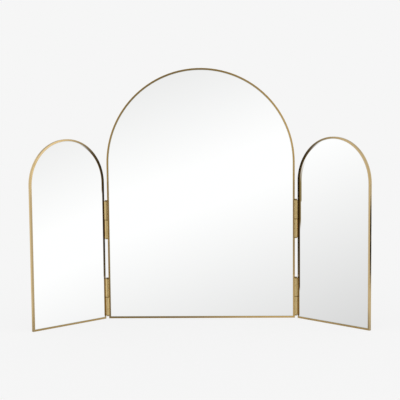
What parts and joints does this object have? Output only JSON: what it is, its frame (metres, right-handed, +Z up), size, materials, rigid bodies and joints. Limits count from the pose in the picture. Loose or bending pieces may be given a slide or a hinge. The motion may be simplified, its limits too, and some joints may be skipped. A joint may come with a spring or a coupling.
{
  "type": "table mirror",
  "caption": "Free-standing arched table mirror in a thin brass channel frame, with smaller arched wings that fold forward on knuckle hinges.",
  "frame": {"origin": "middle of the centre panel's underside, on the table", "axes": "+X to the viewer's right along the centre panel, +Y to the back, +Z up"},
  "size_m": [0.5107, 0.1064, 0.4],
  "materials": {
    "brass_frame": "satin, hand-brushed, warm antique brass",
    "brass_hinge": "satin brass, a little yellower and brighter than the frame",
    "brass_pin": "darkened brass with a domed head",
    "mirror_glass": "silvered float glass",
    "back_board": "thin hardboard, dark painted"
  },
  "bodies": {
    "centre": {"centre_arch_rail": "brass_frame", "centre_base_rail": "brass_frame", "centre_mirror_glass": "mirror_glass", "centre_back_board": "back_board", "left_lower_hinge_centre_leaf": "brass_hinge", "left_lower_hinge_pin": "brass_pin", "left_upper_hinge_centre_leaf": "brass_hinge", "left_upper_hinge_pin": "brass_pin", "right_lower_hinge_centre_leaf": "brass_hinge", "right_lower_hinge_pin": "brass_pin", "right_upper_hinge_centre_leaf": "brass_hinge", "right_upper_hinge_pin": "brass_pin"},
    "left_wing": {"left_wing_arch_rail": "brass_frame", "left_wing_base_rail": "brass_frame", "left_wing_mirror_glass": "mirror_glass", "left_wing_back_board": "back_board", "left_lower_hinge_wing_leaf": "brass_hinge", "left_upper_hinge_wing_leaf": "brass_hinge"},
    "right_wing": {"right_wing_arch_rail": "brass_frame", "right_wing_base_rail": "brass_frame", "right_wing_mirror_glass": "mirror_glass", "right_wing_back_board": "back_board", "right_lower_hinge_wing_leaf": "brass_hinge", "right_upper_hinge_wing_leaf": "brass_hinge"}
  },
  "joints": [
    {"name": "left_wing_hinge", "type": "hinge", "parent": "centre", "child": "left_wing", "pos_m": [-0.1515, -0.00417, 0], "axis": [0, 0, -1], "range_deg": [-134, 56]},
    {"name": "right_wing_hinge", "type": "hinge", "parent": "centre", "child": "right_wing", "pos_m": [0.1515, -0.00417, 0], "axis": [0, 0, 1], "range_deg": [-135.5, 54.5]}
  ]
}
